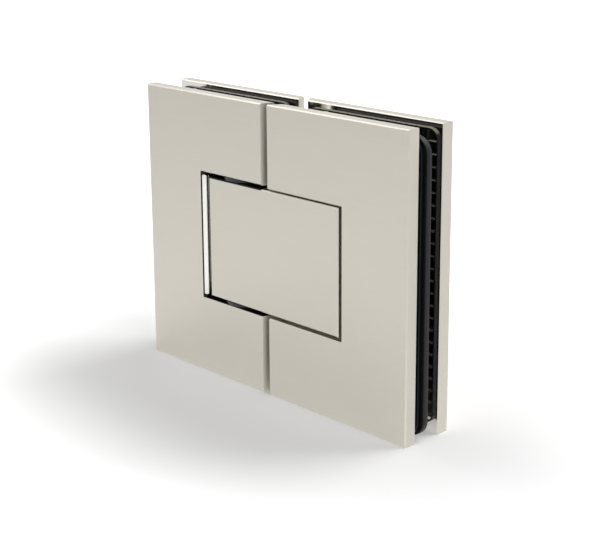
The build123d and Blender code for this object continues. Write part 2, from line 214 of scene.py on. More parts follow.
@dataclass(frozen=True, kw_only=True)
class BrushedNickel(Finish):
    """Nickel plate over brass, brushed lengthwise on the outer faces.

    The belt leaves short lines along X. They spread the gloss up and down, so that the
    outer faces show broad tones and no mirror image. The milled walls are satin, and in
    the notch their colour is painted dark, as painted shade in the narrow gaps round the
    block. The inner faces are polished, and mirror what is near.
    """

    name: str = "nickel_plate_brushed"
    colour: str = "#C9C5BC"
    shade: str = "#C6C2B8"  # between the belt's lines
    bright: str = "#DAD7D0"  # of the polished faces
    painted_notch_shade: str = "#2C2A27"  # painted shade on the notch's walls
    roughness: float = 0.36  # between the lines and the clouds
    satin: float = 0.42  # roughness of the milled walls
    polish: float = 0.1  # roughness of the polished faces
    line_gloss: tuple[float, float] = (-0.03, 0.03)  # what the lines add to the roughness
    cloud_gloss: float = 0.05  # what the clouds add at their thickest
    gloss_stretch: float = 0.3  # across the lines
    line_spacing: float = 0.32 * MM  # a 240 grit belt leaves 0.06 mm, too fine to show
    line_length: float = 16 * MM
    line_tone: tuple[float, float] = (0.35, 0.65)  # band of the lines from shade to colour
    line_depth: float = 0.02 * MM
    line_relief: float = 0.08  # share of that depth that shows
    cloud: float = 30 * MM  # uneven pressure of the belt
    outer_depth: float  # of the outer faces, from the middle of the slot
    inner_depth: float  # of the inner faces
    slack: float = 0.05 * MM  # how near to those depths a face lies
    notch_low: tuple[float, float]  # X and height
    notch_high: tuple[float, float]

    def masks(self, tree: Tree) -> list[Socket]:
        """Tells the brushed faces, the polished faces and the walls with painted shade from the rest.

        A face is brushed where it lies at the outer depth and points straight to the
        front or the rear, and polished where it does so at the inner depth. A wall gets
        painted shade in the notch, where it doesn't point to the front, the rear or the left.

        Args:
            tree: the material's node tree.

        Returns:
            One where the face is brushed, where it is polished and where the wall gets painted shade.
        """
        coordinates = add_node(tree, "ShaderNodeTexCoord").outputs
        place = add_node(tree, "ShaderNodeSeparateXYZ", {}, {0: coordinates["Object"]}).outputs
        facing = add_node(tree, "ShaderNodeSeparateXYZ", {}, {0: coordinates["Normal"]}).outputs
        depth, across = (
            add_node(tree, "ShaderNodeMath", {"operation": "ABSOLUTE"}, {0: parts["Y"]}).outputs[0]
            for parts in (place, facing)
        )
        width, height = (
            ((high + low) / 2, (high - low) / 2) for low, high in zip(self.notch_low, self.notch_high)
        )
        # Each test is a value, a middle, and how far from the middle the value may be.
        outer = (depth, self.outer_depth, self.slack)
        inner = (depth, self.inner_depth, self.slack)
        straight = (across, 1.0, 0.05)
        aside = (across, 0.0, 0.99)
        not_left = (facing["X"], 0.5, 0.55)
        notch = ((place["X"], *width), (place["Z"], *height), aside, not_left)
        masks = []
        for tests in ((outer, straight), (inner, straight), notch):
            mask = 1.0
            for value, middle, reach in tests:
                passed = add_node(
                    tree, "ShaderNodeMath", {"operation": "COMPARE"}, {0: value, 1: middle, 2: reach}
                ).outputs[0]
                mask = add_node(
                    tree, "ShaderNodeMath", {"operation": "MULTIPLY"}, {0: mask, 1: passed}
                ).outputs[0]
            masks.append(mask)
        return masks

    def surface(self, tree: Tree) -> Socket:
        """Lays out lines and slow clouds on the brushed faces, with plain plate elsewhere and painted shade
        on the walls in the notch.

        Args:
            tree: the material's node tree.

        Returns:
            The shader's output.
        """
        brushed, polished, painted_notch_shade = self.masks(tree)
        place = add_node(tree, "ShaderNodeTexCoord").outputs["Object"]
        scale = (1 / self.line_length, 1 / self.line_spacing, 1 / self.line_spacing)
        mapped = add_node(tree, "ShaderNodeMapping", {}, {"Vector": place, "Scale": scale})
        stretched = mapped.outputs["Vector"]
        lines = add_node(
            tree,
            "ShaderNodeTexNoise",
            {"noise_dimensions": "3D"},
            {"Vector": stretched, "Scale": 1.0, "Detail": 3.0, "Roughness": 0.6},
        ).outputs["Fac"]
        clouds = add_node(
            tree,
            "ShaderNodeTexNoise",
            {"noise_dimensions": "3D"},
            {"Vector": place, "Scale": 1 / self.cloud, "Detail": 2.0, "Roughness": 0.5},
        ).outputs["Fac"]
        low, high = (self.roughness + added for added in self.line_gloss)
        gloss = add_node(
            tree, "ShaderNodeMapRange", {}, {0: lines, 1: NOISE_LOW, 2: NOISE_HIGH, 3: low, 4: high}
        ).outputs[0]
        gloss = add_node(
            tree, "ShaderNodeMath", {"operation": "MULTIPLY_ADD"}, {0: clouds, 1: self.cloud_gloss, 2: gloss}
        ).outputs[0]
        plain = add_node(
            tree, "ShaderNodeMix", {"data_type": "FLOAT"}, {0: polished, 2: self.satin, 3: self.polish}
        ).outputs[0]
        gloss = add_node(
            tree, "ShaderNodeMix", {"data_type": "FLOAT"}, {0: brushed, 2: plain, 3: gloss}
        ).outputs[0]
        low, high = self.line_tone
        tone = add_node(
            tree, "ShaderNodeMapRange", {}, {0: lines, 1: low, 2: high, 3: 0.0, 4: 1.0}
        ).outputs[0]
        colour = linear(self.shade)
        # The last mix paints shade on the walls in the notch.
        for mask, other in ((tone, self.colour), (polished, self.bright), (painted_notch_shade, self.painted_notch_shade)):
            colour = add_node(
                tree, "ShaderNodeMix", {"data_type": "RGBA"}, {0: mask, 6: colour, 7: linear(other)}
            ).outputs[2]
        height = add_node(
            tree, "ShaderNodeMath", {"operation": "MULTIPLY"}, {0: lines, 1: brushed}
        ).outputs[0]
        relief = add_node(
            tree,
            "ShaderNodeBump",
            {},
            {"Strength": self.line_relief, "Distance": self.line_depth, "Height": height},
        ).outputs["Normal"]
        return add_node(
            tree,
            "ShaderNodeBsdfPrincipled",
            {},
            {
                "Base Color": colour,
                "Metallic": 1.0,
                "Roughness": gloss,
                "Anisotropic": self.gloss_stretch,
                "Normal": relief,
            },
        ).outputs["BSDF"]


@dataclass(frozen=True, kw_only=True)
class MouldedRubber(MarkedFinish):
    """Black rubber with the skin that a mould gives it.

    A fine even grain keeps its gloss low and soft. The broad faces carry painted shade,
    the edges painted light as if lit from the side, and patches of wear move the line
    between them. What points upwards gets a pale painted highlight.
    """

    colour: str  # painted shade: of the skin, on the faces that point to the front or the rear
    # painted light on the edges, as if lit from the side
    edge: str
    painted_highlight: str  # painted highlight on what points upwards
    gleam: float = 0.2  # level of its mirror, which dust keeps low
    grain: float = 0.25 * MM
    mark_depth: float = 0.03 * MM
    mark_relief: float = 0.35
    bloom: float = 9 * MM  # patches where the skin is worn
    wear: float = 0.4
    skin_turn: tuple[float, float] = (0.2, 0.6)  # how far a face points forwards, from painted light on the edge to painted shade on the skin
    highlight_turn: tuple[float, float] = (0.45, 0.75)  # how far it points upwards, from none to the full painted highlight

    def surface(self, tree: Tree) -> Socket:
        """Lays out painted shade on the skin and painted light on the edges, with wear between them, and a
        painted highlight on what points upwards, with an even grain.

        Args:
            tree: the material's node tree.

        Returns:
            The shader's output.
        """
        coordinates = add_node(tree, "ShaderNodeTexCoord").outputs
        turned = add_node(tree, "ShaderNodeSeparateXYZ", {}, {0: coordinates["Normal"]}).outputs
        facing = add_node(tree, "ShaderNodeMath", {"operation": "ABSOLUTE"}, {0: turned["Y"]}).outputs[0]
        grain, bloom = (
            add_node(
                tree,
                "ShaderNodeTexNoise",
                {"noise_dimensions": "3D"},
                {"Vector": coordinates["Object"], "Scale": 1 / size, "Detail": detail},
            ).outputs["Fac"]
            for size, detail in ((self.grain, 2.0), (self.bloom, 3.0))
        )
        # Painted shade where a face points forwards, moved at random by patches of wear.
        shade_and_wear = add_node(
            tree, "ShaderNodeMath", {"operation": "MULTIPLY_ADD"}, {0: bloom, 1: -self.wear, 2: facing}
        ).outputs[0]
        colour = linear(self.edge)
        for turn, (low, high), other in (
            (shade_and_wear, self.skin_turn, self.colour),
            # painted highlight on what points upwards
            (turned["Z"], self.highlight_turn, self.painted_highlight),
        ):
            mask = add_node(
                tree, "ShaderNodeMapRange", {}, {0: turn, 1: low, 2: high, 3: 0.0, 4: 1.0}
            ).outputs[0]
            colour = add_node(
                tree, "ShaderNodeMix", {"data_type": "RGBA"}, {0: mask, 6: colour, 7: linear(other)}
            ).outputs[2]
        return self.marked(tree, grain, {"Base Color": colour, "Specular IOR Level": self.gleam})


@dataclass(frozen=True, kw_only=True)
class MachinedPolymer(MarkedFinish):
    """Nylon or acetal turned on a lathe.

    It is smooth and waxy, with faint rings about the pin where the tool went round.
    """

    name: str = "nylon_turned_black"
    colour: str = "#1B1B1D"
    roughness: float = 0.34
    ring_spacing: float = 0.35 * MM
    ring_wander: float = 0.4
    mark_gloss: tuple[float, float] = (-0.04, 0.05)
    mark_band: tuple[float, float] = (0.0, 1.0)
    mark_depth: float = 0.01 * MM
    mark_relief: float = 0.15
    axis: tuple[float, float] = (0.0, 0.0)  # of the pin, along X and Y

    def surface(self, tree: Tree) -> Socket:
        """Lays out tool rings about the pin's upright axis.

        Args:
            tree: the material's node tree.

        Returns:
            The shader's output.
        """
        place = add_node(tree, "ShaderNodeTexCoord").outputs["Object"]
        centred = add_node(
            tree,
            "ShaderNodeMapping",
            {},
            {"Vector": place, "Location": (-self.axis[0], -self.axis[1], 0.0)},
        ).outputs["Vector"]
        rings = add_node(
            tree,
            "ShaderNodeTexWave",
            {"wave_type": "RINGS", "rings_direction": "Z"},
            {
                "Vector": centred,
                "Scale": WAVE_PERIOD / self.ring_spacing,
                "Distortion": self.ring_wander,
                "Detail": 1.0,
            },
        ).outputs["Fac"]
        return self.marked(tree, rings, {"Base Color": linear(self.colour)})


@dataclass(frozen=True, kw_only=True)
class WorkedMetal(MarkedFinish):
    """Metal that was ground, drawn, turned or polished.

    Fine marks run one way and break its gloss a little.
    """

    name: str = "steel_ground"
    colour: str = "#B9B8B4"
    shade: str = "#8E8D8A"  # in the marks
    roughness: float = 0.28
    mark_length: tuple[float, float, float] = (0.2 * MM, 0.2 * MM, 3 * MM)  # along X, Y and Z
    mark_depth: float = 0.01 * MM
    mark_relief: float = 0.2

    def surface(self, tree: Tree) -> Socket:
        """Lays out marks drawn out along one way.

        Args:
            tree: the material's node tree.

        Returns:
            The shader's output.
        """
        place = add_node(tree, "ShaderNodeTexCoord").outputs["Object"]
        scale = tuple(1 / length for length in self.mark_length)
        mapped = add_node(tree, "ShaderNodeMapping", {}, {"Vector": place, "Scale": scale})
        stretched = mapped.outputs["Vector"]
        marks = add_node(
            tree,
            "ShaderNodeTexNoise",
            {"noise_dimensions": "3D"},
            {"Vector": stretched, "Scale": 1.0, "Detail": 3.0},
        ).outputs["Fac"]
        colour = add_node(
            tree,
            "ShaderNodeMix",
            {"data_type": "RGBA"},
            {0: marks, 6: linear(self.shade), 7: linear(self.colour)},
        ).outputs[2]
        return self.marked(tree, marks, {"Base Color": colour, "Metallic": 1.0})


@dataclass(frozen=True)
class StudioPaper(Finish):
    """Matt white paper of the floor, which keeps the hinge's shadow.

    The eye sees it lifted to white away from the hinge by a glow that no lamp gives. Metal
    mirrors that glow as painted light, a little brighter beside the hinge than far off.
    """

    name: str = "paper_white"
    colour: str = "#F2F2F2"
    roughness: float = 0.6
    eye_lift: tuple[float, float] = (0.25, 1.0)  # towards white, beside the hinge and far off
    # painted light in what metal mirrors, beside the hinge and far off
    gloss_lift: tuple[float, float] = (0.56, 0.46)
    near: float = 35 * MM
    far: float = 132 * MM
    stretch: float = 1.5  # of the pool of lift along the hinge

    def surface(self, tree: Tree) -> Socket:
        """Lays out matt paper with a glow that changes away from the hinge, painted light where metal mirrors
        it.

        Args:
            tree: the material's node tree.

        Returns:
            The shader's output.
        """
        rays = add_node(tree, "ShaderNodeLightPath").outputs
        mirrored = add_node(
            tree,
            "ShaderNodeMath",
            {"operation": "ADD", "use_clamp": True},
            {0: rays["Is Glossy Ray"], 1: rays["Is Transmission Ray"]},
        ).outputs[0]
        place = add_node(tree, "ShaderNodeTexCoord").outputs["Object"]
        squeezed = add_node(
            tree,
            "ShaderNodeVectorMath",
            {"operation": "MULTIPLY"},
            {0: place, 1: (1 / self.stretch, 1.0, 1.0)},
        ).outputs[0]
        away = add_node(tree, "ShaderNodeVectorMath", {"operation": "LENGTH"}, {0: squeezed}).outputs["Value"]
        strength = 0.0
        for seen, (beside, far_off) in (
            (rays["Is Camera Ray"], self.eye_lift),
            (mirrored, self.gloss_lift),
        ):
            lift = add_node(
                tree,
                "ShaderNodeMapRange",
                {"interpolation_type": "SMOOTHSTEP"},
                {0: away, 1: self.near, 2: self.far, 3: beside, 4: far_off},
            ).outputs[0]
            strength = add_node(
                tree, "ShaderNodeMath", {"operation": "MULTIPLY_ADD"}, {0: seen, 1: lift, 2: strength}
            ).outputs[0]
        glow = add_node(tree, "ShaderNodeEmission", {}, {"Color": WHITE, "Strength": strength}).outputs[0]
        paper = add_node(
            tree,
            "ShaderNodeBsdfDiffuse",
            {},
            {"Color": linear(self.colour), "Roughness": self.roughness},
        ).outputs[0]
        return add_node(tree, "ShaderNodeAddShader", {}, {0: paper, 1: glow}).outputs[0]


# ------------------------------------------------------------------------------------ meshes


def make_piece(name: str, points: Grid, faces: Faces, finish: Finish, sharp: float = 35) -> bpy.types.Object:
    """Makes an object at the origin from points and faces.

    Args:
        name: the piece's name.
        points: one row of x, y and z per vertex.
        faces: vertex numbers of each face.
        finish: what the piece is made of.
        sharp: edges that bend more than this many degrees stay crisp.

    Returns:
        The new object, linked to the scene.
    """
    mesh = bpy.data.meshes.new(name)
    mesh.from_pydata(points.tolist(), [], faces)
    mesh.validate()
    mesh.polygons.foreach_set("use_smooth", np.ones(len(mesh.polygons), bool))
    mesh.set_sharp_from_angle(angle=math.radians(sharp))
    mesh.materials.append(finish.material())
    piece = bpy.data.objects.new(name, mesh)
    bpy.context.scene.collection.objects.link(piece)
    return piece


def settle(piece: bpy.types.Object, body: str, slot: str, *nodes: str) -> None:
    """Puts a piece in its body, in the place of its CAD nodes.

    Args:
        piece: the new piece.
        body: name of the CAD body that it moves with.
        slot: name of a material slot; not used.
        nodes: the CAD nodes that it stands for, if any.
    """
    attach(piece, body)
    if nodes:
        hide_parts(*nodes)
    LOG.info("%s: %d faces, on %s", piece.name, len(piece.data.polygons), body)


def dress_node(node: bpy.types.Object, finish: Finish) -> None:
    """Gives a CAD node a finish in each of its material slots.

    Args:
        node: the CAD node's object.
        finish: what it is made of.
    """
    if not node.material_slots:
        node.data.materials.append(None)
    for place in node.material_slots:
        place.material = finish.material()
    LOG.info("%s: CAD shape, %s", node.name, finish.name)


@dataclass(frozen=True)
class SheetOutline:
    """C-shaped outline that goes round the core, with rounded outer corners.

    It is drawn for the half that points along +X. The other half mirrors it.
    """

    start: float
    end: float
    bottom: float
    top: float
    cut_end: float
    cut_bottom: float
    cut_top: float
    corner: float

    def edge_distance(self, x: Grid, z: Grid) -> Grid:
        """How far a point is inside the outline, before the corners are rounded.

        It is the least of the distances to the four outer edges, and where the point
        faces the cut, to the cut's edges as well.

        Args:
            x: places along the plates.
            z: heights.

        Returns:
            The distance at each point.
        """
        aside = np.minimum(x - self.start, self.end - x)
        outer = np.minimum(aside, np.minimum(z - self.bottom, self.top - z))
        beside = x - self.cut_end
        above = np.maximum(z - self.cut_top, self.cut_bottom - z)
        at_corner = (beside > 0) & (above > 0)
        cut = np.where(at_corner, np.hypot(beside, above), np.maximum(beside, above))
        return np.maximum(np.minimum(outer, cut), 0)

    def rounded(self, x: Grid, z: Grid) -> tuple[Grid, Grid]:
        """Draws the square corners in to quarter circles.

        A point at (a, b) from a corner's centre moves to (a, b) times
        max(a, b) / hypot(a, b), so squares about that centre become circles.

        Args:
            x: places along the plates.
            z: heights.

        Returns:
            The moved places and heights.
        """
        middle_x, middle_z = (self.start + self.end) / 2, (self.bottom + self.top) / 2
        reach_x, reach_z = self.end - middle_x, self.top - middle_z
        a = np.abs(x - middle_x) - (reach_x - self.corner)
        b = np.abs(z - middle_z) - (reach_z - self.corner)
        inside = (a > 0) & (b > 0)
        safe = np.where(inside, np.hypot(a, b), 1)
        scale = np.where(inside, np.maximum(a, b) / safe, 1)
        move_x = np.where(inside, a * (scale - 1), 0) * np.sign(x - middle_x)
        move_z = np.where(inside, b * (scale - 1), 0) * np.sign(z - middle_z)
        return x + move_x, z + move_z


def tidy_lines(lines: Grid, low: float, high: float) -> Grid:
    """Sorts grid lines, keeps those from low to high and drops near doubles.

    Args:
        lines: places of the lines, in any order.
        low: the lowest that is kept.
        high: the highest that is kept.

    Returns:
        The lines in order, at least a fine step apart.
    """
    kept = np.unique(np.round(lines[(lines > low) & (lines < high)], DIGITS))
    kept = np.concatenate([[low], kept, [high]])
    apart = np.concatenate([[True], np.diff(kept) > FINE_STEP])
    return kept[apart]


def sheet_mesh(
    outline: SheetOutline,
    columns: Grid,
    rows: Grid,
    near: Grid,
    far: Grid,
    side: Side,
    filled: NDArray[np.bool_] | None = None,
) -> tuple[Grid, Faces]:
    """Closed sheet over a grid with the outline's cut left out.

    Each grid point has a place on the near face and one on the far face. A cell inside
    the outline gives a face to both, and a cell's edge on the outline gives a wall.

    Args:
        outline: the sheet's outline.
        columns: places of the grid lines along X.
        rows: heights of the grid lines.
        near: Y of the near face, with one row per height.
        far: Y of the far face.
        side: the half that the sheet belongs to.
        filled: which cells have rubber, where some are open.

    Returns:
        The points and the faces, which point outwards.
    """
    x, z = np.meshgrid(columns, rows)
    moved_x, moved_z = outline.rounded(x, z)
    moved_x = moved_x * side.value
    count = x.size
    points = np.concatenate([np.stack([moved_x, y, moved_z], -1).reshape(-1, 3) for y in (near, far)])
    cell_x, cell_z = np.meshgrid((columns[1:] + columns[:-1]) / 2, (rows[1:] + rows[:-1]) / 2)
    solid = ~((cell_x < outline.cut_end) & (cell_z > outline.cut_bottom) & (cell_z < outline.cut_top))
    if filled is not None:
        solid &= filled
    number = np.arange(count).reshape(x.shape)
    low_left, low_right = number[:-1, :-1], number[:-1, 1:]
    high_left, high_right = number[1:, :-1], number[1:, 1:]
    face = np.stack([low_left, low_right, high_right, high_left], -1)[solid]
    padded = np.pad(solid, 1)
    walls = []
    for shift, first, last in (
        ((0, 1), low_left, low_right),
        ((2, 1), high_right, high_left),
        ((1, 0), high_left, low_left),
        ((1, 2), low_right, high_right),
    ):
        beyond = padded[shift[0] : shift[0] + solid.shape[0], shift[1] : shift[1] + solid.shape[1]]
        open_edge = solid & ~beyond
        a, b = first[open_edge], last[open_edge]
        walls.append(np.stack([b, a, a + count, b + count], -1))
    quads = np.concatenate([face, face[:, ::-1] + count, *walls])
    if side is Side.DOOR:
        quads = quads[:, ::-1]
    used, renumbered = np.unique(quads, return_inverse=True)
    return points[used], renumbered.reshape(quads.shape).tolist()


def turned_mesh(radius: Grid, depth: Grid, centre: Vector, cone: float) -> tuple[Grid, Faces]:
    """Closed body turned about an axis along Y, with a pole at each end.

    Row i, column j stands at angle 2 pi j / columns, at radius[i, j] from the axis and
    depth[i, j] below the head's face.

    Args:
        radius: radius of each point, one row per station and one column per angle.
        depth: depth of each point below the head's face.
        centre: middle of the head's face.
        cone: how much deeper than the first row its pole lies, as a share of the radius.

    Returns:
        The points and the faces, which point outwards.
    """
    last, columns = radius.shape[0] - 1, radius.shape[1]
    angle = np.linspace(0, 2 * np.pi, columns, endpoint=False)[None, :]
    ring = np.stack(
        [centre.x + radius * np.cos(angle), centre.y - depth, centre.z + radius * np.sin(angle)], -1
    ).reshape(-1, 3)
    top = np.array([[centre.x, centre.y - depth[0].mean() - cone * radius[0].mean(), centre.z]])
    tip = np.array([[centre.x, centre.y - depth[last].mean(), centre.z]])
    points = np.concatenate([ring, top, tip])
    here = np.arange(len(ring)).reshape(radius.shape)
    around = np.roll(here, -1, axis=1)
    quads = np.stack([here[:-1], here[1:], around[1:], around[:-1]], -1).reshape(-1, 4)
    head = np.stack([here[0], around[0], np.full(columns, len(ring))], -1)
    end = np.stack([around[last], here[last], np.full(columns, len(ring) + 1)], -1)
    return points, quads.tolist() + head.tolist() + end.tolist()


@dataclass(frozen=True)
class SocketScrew:
    """Socket screw whose axis lies along Y, with its head's face towards the rear."""

    across_flats: float
    socket_depth: float
    pitch: float
    thread_depth: float
    columns: int = 72
    turn_stations: int = 10  # along one pitch
    crest_flat: float = 0.12  # share of half a pitch that is flat at the crest, and at the root
    drill_cone: float = 0.25  # depth of the socket's floor, as a share of its radius
    floor_edge: float = 0.02 * MM
    lip: float = 0.12  # of the socket's mouth, as a share of the flats
    flare: float = 1.03  # of the mouth, past the hexagon's corners

    def hexagon(self) -> Grid:
        """Radius of the socket at each column.

        Half the flats over the cosine of the angle from the nearest flat's middle.

        Returns:
            One radius per column.
        """
        angle = np.linspace(0, 2 * np.pi, self.columns, endpoint=False)
        bend = np.mod(angle + np.pi / 6, np.pi / 3) - np.pi / 6
        return self.across_flats / 2 / np.cos(bend)

    def thread(self, depth: Grid, crest: float, start: float, end: float) -> Grid:
        """Radius of the threaded shank.

        The crest radius less the thread's depth times a flat-topped wave, whose place is
        depth / pitch - angle / 2 pi, fading in and out over one pitch.

        Args:
            depth: depths of the stations.
            crest: radius of the crests.
            start: depth where the thread starts.
            end: depth where it ends.

        Returns:
            One row of radii per station.
        """
        turn = np.arange(self.columns)[None, :] / self.columns
        wave = np.mod(depth[:, None] / self.pitch - turn, 1)
        slope = 1 - 2 * self.crest_flat
        groove = np.clip((np.abs(wave - 0.5) * 2 - self.crest_flat) / slope, 0, 1)
        fade = np.clip(np.minimum(depth - start, end - depth) / self.pitch, 0, 1)[:, None]
        return crest - self.thread_depth * groove * fade

    def mesh(
        self, centre: Vector, profile: Grid, crest: float, threaded: tuple[float, float]
    ) -> tuple[Grid, Faces]:
        """Builds the screw from the socket's floor, out over the head and down the shank.

        Args:
            centre: middle of the head's face.
            profile: radius and depth of each round station from the head's face to the shank.
            crest: radius of the thread's crests.
            threaded: depths where the thread starts and ends.

        Returns:
            The points and the faces.
        """
        hexagon = self.hexagon()
        mouth = self.across_flats / math.sqrt(3) * self.flare
        lip = self.lip * self.across_flats
        socket_depths = [self.socket_depth, self.socket_depth - self.floor_edge, lip, lip / 2]
        socket = np.stack([hexagon, hexagon, hexagon, (hexagon + mouth) / 2])
        start, end = threaded
        shank_depth = np.linspace(start, end, int((end - start) / self.pitch * self.turn_stations))
        shank = self.thread(shank_depth, crest, start, end)
        bevel = np.array([0.5, 1.0]) * self.thread_depth
        plain = np.concatenate([[mouth], profile[:, 0]])
        head, tip = (np.repeat(radii[:, None], self.columns, axis=1) for radii in (plain, crest - bevel))
        depths = np.concatenate([socket_depths, [0.0], profile[:, 1], shank_depth, end + bevel])
        depth = np.repeat(depths[:, None], self.columns, axis=1)
        return turned_mesh(np.concatenate([socket, head, shank, tip]), depth, centre, self.drill_cone)


# ------------------------------------------------------------------------------ sub-assemblies


@dataclass
class NickelBody:
    """The four plates and the block between them, whose CAD shapes stay."""

    # These three bound the notch, whose walls get painted shade.
    notch_reach: float = 4.3 * MM  # from the block's end past the notch's rounded end
    notch_half: float = 20.5 * MM  # of the notch's height
    middle_gap: float = 2.45 * MM  # from the hinge's middle to the door plates' ends
    plates: tuple[str, ...] = (
        "fixed_front_plate",
        "fixed_rear_plate",
        "pivot_block",
        "door_front_plate",
        "door_rear_plate",
    )

    def dress(self, nodes: dict[str, bpy.types.Object]) -> None:
        """Gives each plate and the block the nickel finish.

        Args:
            nodes: the CAD nodes by name.
        """
        core_low, core_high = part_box("pivot_block")
        middle = (core_low.z + core_high.z) / 2
        finish = BrushedNickel(
            outer_depth=core_high.y,
            inner_depth=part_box("fixed_rear_gasket")[1].y,
            notch_low=(core_low.x - self.notch_reach, middle - self.notch_half),
            notch_high=(-self.middle_gap, middle + self.notch_half),
        )
        for name in self.plates:
            dress_node(nodes[name], finish)


@dataclass
class NotchRods:
    """Polished rods let into the end of the notch of both door plates."""

    radius: float = 1.1 * MM
    reach: float = 3.0 * MM  # from the block's end to the rod's middle
    depth: float = 1.2 * MM  # of the rod's middle, below the outer face
    half_height: float = 19.5 * MM
    end_round: float = 0.5 * MM
    end_stations: int = 6
    wall_stations: int = 12
    columns: int = 64
    # Polished nickel mirrors what is near, so the rods show as bright upright lines.
    finish: WorkedMetal = WorkedMetal(
        name="nickel_polished",
        colour="#EDECE8",
        shade="#E4E2DD",
        roughness=0.12,
        mark_length=(0.3 * MM, 0.3 * MM, 12 * MM),
    )

    def mesh(self, x: float, y: float, low: float, high: float) -> tuple[Grid, Faces]:
        """Closed upright rod, a round of points at each of its stations.

        Station heights and radii follow a quarter circle at each end: radius less
        end_round times (1 - sin a), height in from the end by end_round times (1 - cos a).

        Args:
            x: place of its middle line along the plates.
            y: depth of its middle line.
            low: height of its lower end.
            high: height of its upper end.

        Returns:
            The points and the faces, which point outwards.
        """
        turn = np.linspace(0, np.pi / 2, self.end_stations)
        inset = self.end_round * (1 - np.sin(turn))
        rise = self.end_round * (1 - np.cos(turn))
        between = np.linspace(low + self.end_round, high - self.end_round, self.wall_stations)[1:-1]
        height = np.concatenate([low + rise, between, (high - rise)[::-1]])
        radius = self.radius - np.concatenate([inset, np.zeros(len(between)), inset[::-1]])
        angle = np.linspace(0, 2 * np.pi, self.columns, endpoint=False)
        ring = np.stack(
            [
                x + radius[:, None] * np.cos(angle),
                y + radius[:, None] * np.sin(angle),
                np.broadcast_to(height[:, None], (len(height), self.columns)),
            ],
            -1,
        ).reshape(-1, 3)
        number = np.arange(len(ring)).reshape(len(height), self.columns)
        around = np.roll(number, -1, axis=1)
        walls = np.stack([number[:-1], around[:-1], around[1:], number[1:]], -1).reshape(-1, 4)
        return ring, [*walls.tolist(), number[0, ::-1].tolist(), number[-1].tolist()]

    def build(self) -> None:
        """Makes the rod of the front plate and that of the rear plate."""
        low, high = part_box("pivot_block")
        middle = (low.z + high.z) / 2
        bottom, top = middle - self.half_height, middle + self.half_height
        for plate, depth in (("front", low.y + self.depth), ("rear", high.y - self.depth)):
            points, faces = self.mesh(low.x - self.reach, depth, bottom, top)
            made = make_piece(f"door_{plate}_notch_rod", points, faces, self.finish)
            settle(made, Side.DOOR.body, "satin_nickel")


@dataclass
class Pivot:
    """Pin, bushes, washers and the sprung plunger that holds the door."""

    steel: WorkedMetal = WorkedMetal()
    # Wire is drawn along its length, which leaves it darker and duller than ground steel.
    wire: WorkedMetal = WorkedMetal(
        name="spring_wire_drawn",
        colour="#6E6C69",
        shade="#4C4A48",
        roughness=0.32,
        mark_length=(2 * MM, 0.3 * MM, 0.3 * MM),
    )

    def dress(self, nodes: dict[str, bpy.types.Object]) -> None:
        """Gives each turning piece its finish.

        Args:
            nodes: the CAD nodes by name.
        """
        low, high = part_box("pivot_pin")
        axis = ((low.x + high.x) / 2, (low.y + high.y) / 2)
        nylon = MachinedPolymer(axis=axis)
        # Acetal is a warm white, and a little duller than nylon.
        acetal = MachinedPolymer(name="acetal_turned_white", colour="#E4E1D8", roughness=0.4, axis=axis)
        for finish, names in (
            (nylon, ("upper_thrust_washer", "lower_thrust_washer")),
            (acetal, ("upper_bush", "lower_bush")),
            (self.steel, ("pivot_pin", "detent_plunger", "spring_plug")),
            (self.wire, ("detent_spring",)),
        ):
            for name in names:
                dress_node(nodes[name], finish)


